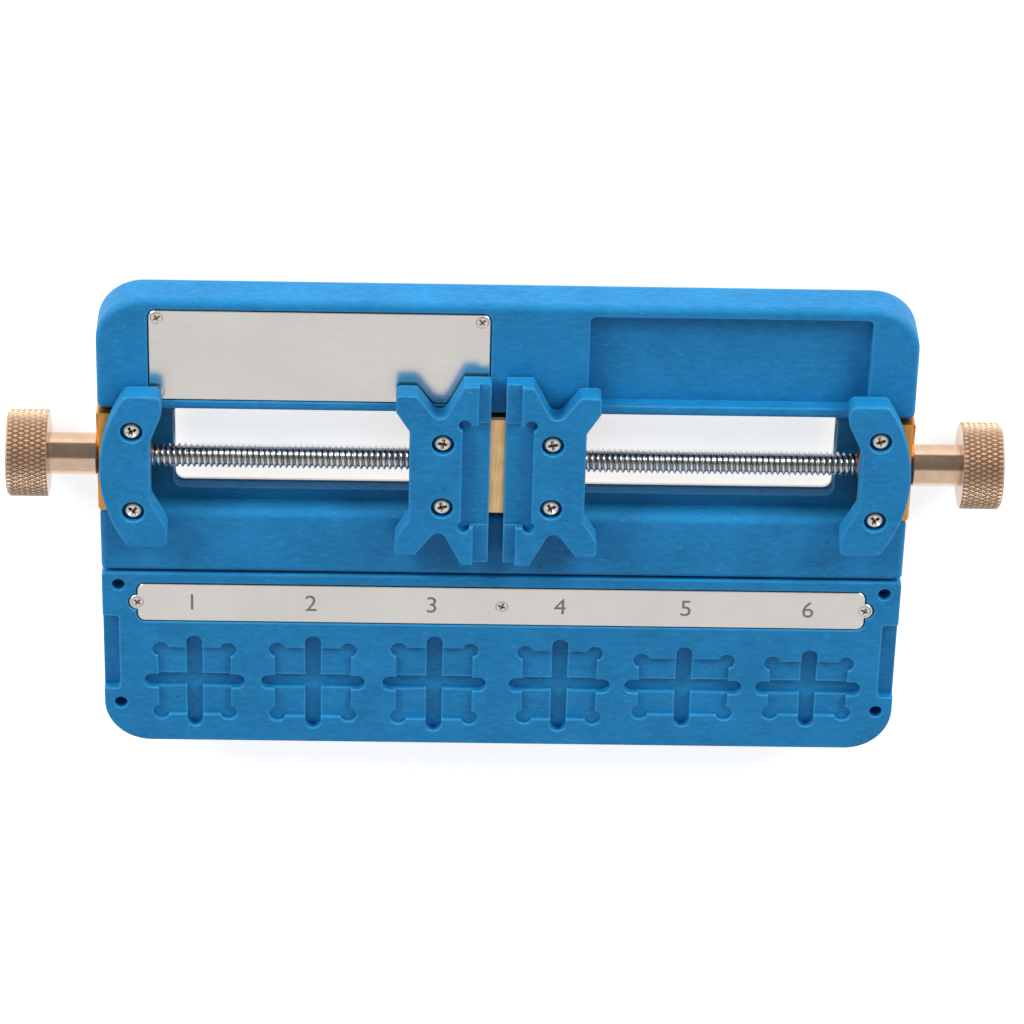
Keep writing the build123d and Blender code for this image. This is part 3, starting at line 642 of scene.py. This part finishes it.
def knob(side, body, node, material):
    """A knurled head on a smooth neck, with the bore and the hole of the grub screw."""
    low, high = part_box(node)
    axis_point = (low + high) / 2
    radius = (high.z - low.z) / 2
    neck_in, outer = sorted((abs(low.x), abs(high.x)))
    inner = neck_in + NECK_LENGTH
    bore_out = outer - KNOB_WALL
    outside = [
        (neck_in, BORE_RADIUS),
        (neck_in, NECK_RADIUS - NECK_RIM),
        (neck_in + NECK_RIM, NECK_RADIUS),
        (inner, NECK_RADIUS),
        (inner, radius - RIM_IN),
        (inner + RIM_IN, radius),
        (outer - RIM_OUT, radius),
        (outer, radius - RIM_OUT),
        (outer, 0),
    ]
    bore = [(neck_in, BORE_RADIUS), (bore_out, BORE_RADIUS), (bore_out, 0)]
    blank = bmesh.new()
    turned(blank, outside, axis_point, side)
    turned(blank, bore, axis_point, side)
    bmesh.ops.remove_doubles(blank, verts=blank.verts, dist=MERGE)
    knurl = knurled_bar(axis_point, side, inner - NECK_COLUMNS * KNURL_COLUMN, outer, radius)
    grub_low, grub_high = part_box(node + "_grub_screw")
    grub_radius = (grub_high.x - grub_low.x) / 2
    grub_x = (grub_low.x + grub_high.x) / 2
    hole = bmesh.new()
    bmesh.ops.create_cone(
        hole,
        cap_ends=True,
        segments=HEAD_STEPS,
        radius1=grub_radius,
        radius2=grub_radius,
        depth=2 * NECK_RADIUS,
        matrix=Matrix.Translation((grub_x, axis_point.y, axis_point.z - NECK_RADIUS)),
    )
    shape = cut_mesh(cut_mesh(blank, knurl, "INTERSECT"), hole, "DIFFERENCE")
    piece(node.replace("knob", "knurled_knob"), shape, material, body, "knob_metal", node)


def cross_cutter(bm, place, turn, length, width, depth):
    """A cross that narrows downwards, as a cross-point driver leaves it."""
    rings = []
    for share, rise in CROSS_TAPER:
        a, b = length / 2 * share, width / 2 * min(1.0, share + CROSS_WIDER)
        quarter = ((a, -b), (a, b), (b, b))
        outline = [*quarter, *((-y, x) for x, y in quarter)]
        outline += [(-x, -y) for x, y in outline]
        ring = []
        for x, y in outline:
            spot = Matrix.Rotation(turn, 3, "Z") @ Vector((x, y, depth * rise))
            ring.append(bm.verts.new(place + spot))
        rings.append(ring)
    skin(bm, rings)
    bm.faces.new(rings[0])
    bm.faces.new(list(reversed(rings[-1])))


def pan_head(bm, place, length, head_radius, head_height, shank_radius):
    """A pan head with its shank; place is the middle of its top."""
    profile = [(0, 0)]
    for step in range(DOME_STEPS + 1):
        angle = math.radians(90 - 90 / DOME_STEPS * step)
        r = head_radius * (1 - DOME_RIM + DOME_RIM * math.cos(angle))
        profile.append((r, -DOME_DROP * head_height * (1 - math.sin(angle))))
    profile += [(head_radius, -head_height), (shank_radius, -head_height)]
    profile += [(shank_radius, -length), (0, -length)]
    rings = []
    for r, z in profile:
        angles = [2 * math.pi * i / HEAD_STEPS for i in range(HEAD_STEPS if r else 1)]
        spots = [Vector((r * math.cos(a), r * math.sin(a), z)) for a in angles]
        rings.append([bm.verts.new(place + spot) for spot in spots])
    skin(bm, rings)


def screw_places(node, low, high, head_radius):
    """Middles of a set's heads: in its box's corners, or on its middle line where it is narrow."""
    def across(start, end):
        if end - start > SINGLE_FILE * head_radius:
            return start + head_radius, end - head_radius
        return ((start + end) / 2,)

    rows = across(low.y, high.y)
    places = [(x, y) for x in across(low.x, high.x) for y in rows]
    if node == "label_strip_screws":
        places.append(((low.x + high.x) / 2, rows[0]))
    return places


def pan_heads(node, body, material, head_radius, head_height, shank_radius, cross):
    """A set of pan head screws with cross recesses."""
    low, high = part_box(node)
    heads, crosses = bmesh.new(), bmesh.new()
    for index, (x, y) in enumerate(screw_places(node, low, high, head_radius)):
        place = Vector((x, y, high.z))
        turn = math.radians(CROSS_FIRST + CROSS_NEXT * index + CROSS_ALONG * x)
        pan_head(heads, place, high.z - low.z, head_radius, head_height, shank_radius)
        cross_cutter(crosses, place, turn, *cross)
    screws = cut_mesh(heads, crosses, "DIFFERENCE")
    piece(node.replace("screws", "pan_heads"), screws, material, body, "plated_screw", node)


def numbers(material):
    """Generic pocket numbers 1 to 6, etched on the label strip above the pockets."""
    low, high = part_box("label_strip")
    middle_y = (low.y + high.y) / 2
    for number, x in enumerate(NUMBER_X, start=1):
        curve = bpy.data.curves.new(f"number_{number}", "FONT")
        curve.body = str(number)
        curve.size = NUMBER_HEIGHT * FONT_TO_DIGIT
        curve.align_x = "CENTER"
        curve.align_y = "CENTER"
        curve.extrude = NUMBER_LIFT
        obj = bpy.data.objects.new(f"number_{number}", curve)
        obj.location = (x * MM, middle_y, high.z)
        bpy.context.scene.collection.objects.link(obj)
        curve.materials.append(material)
        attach(obj, "base")


# ---- studio -----------------------------------------------------------------------------------
def softbox(name, place, size, brightness, tint):
    """A soft light aimed at the object. Brightness is how bright its face looks, 1 being white."""
    data = bpy.data.lights.new(name, "AREA")
    data.shape = "RECTANGLE"
    data.size, data.size_y = size
    data.energy = brightness * math.pi * size[0] * size[1]
    data.color = tint
    light = bpy.data.objects.new(name, data)
    light.location = place
    light.rotation_euler = (-Vector(place)).to_track_quat("-Z", "Y").to_euler()
    bpy.context.scene.collection.objects.link(light)


def pale_floor():
    mesh = bpy.data.meshes.new("floor")
    corners = ((-1, -1), (1, -1), (1, 1), (-1, 1))
    mesh.from_pydata([(x * FLOOR_HALF, y * FLOOR_HALF, 0) for x, y in corners], [], [(0, 1, 2, 3)])
    mesh.materials.append(floor_material())
    floor = bpy.data.objects.new("floor", mesh)
    bpy.context.scene.collection.objects.link(floor)


def surroundings():
    """A dim sky with a bright reflector card in it, on the side of the object's front edge."""
    world = bpy.data.worlds.new("studio")
    world.use_nodes = True
    s = Nodes(world.node_tree)
    direction = s.split(s.add("TexCoord").outputs["Generated"])
    front = s.remap(direction["Y"], *CARD_FADE, 1.0, 0.0, smooth=True)
    sideways = s.math("ABSOLUTE", direction["X"])
    glow = s.remap(sideways, *CARD_SIDES, CARD - SKY, CARD_END * CARD, smooth=True)
    strength = s.math("ADD", s.math("MULTIPLY", front, glow), SKY)
    s.fill(world.node_tree.nodes["Background"], {"Strength": strength, "Color": SKY_TINT})
    bpy.context.scene.world = world


def studio():
    pale_floor()
    surroundings()
    x, y, z = KEY_PLACE
    softbox("left_key", (-x, y, z), KEY_SIZE, KEY, KEY_TINT)
    softbox("right_key", (x, y, z), KEY_SIZE, KEY, KEY_TINT)
    bpy.context.scene.view_settings.view_transform = "Standard"


# ---- the whole --------------------------------------------------------------------------------
add_camera()
stone = blue_stone()
steel = stainless()
pale_brass = brass("pale_brass", *PALE_BRASS)
dark_brass = brass("dark_brass", *DARK_BRASS)
screw_metal = nickel("cap_nickel", 0.7 * MM, 0.35)
plate_metal = nickel("plate_nickel", 0.5 * MM, 0.55)
inside_metal = bearing_steel()
dress(stone, "main_body", "chip_tray", "left_jaw", "right_jaw", "left_outer_jaw", "right_outer_jaw")
dress(steel, "base_plate", "name_plate", "label_strip")
dress(pale_brass, "centre_block")
dress(rubber(), "rubber_feet")
dress(screw_metal, "body_screws", "tray_screws", "block_screws")
head_metals = {"cap": screw_metal, "plate": plate_metal}
for node, body, head in SCREW_SETS:
    pan_heads(node, body, head_metals[head], **HEADS[head])
thread_metal = zinc()
rose = knob_metal()
for side, hand in ((-1, "left_"), (1, "right_")):
    dress(dark_brass, hand + "end_block", hand + "slider", hand + "thrust_washer")
    for part in ("outer_ring", "balls", "inner_ring"):
        dress(inside_metal, hand + "bearing_" + part)
    dress(screw_metal, hand + "knob_grub_screw")
    lead_screw(side, hand + "screw", hand + "lead_screw", thread_metal)
    knob(side, hand + "screw", hand + "knob", rose)
numbers(etched())
studio()
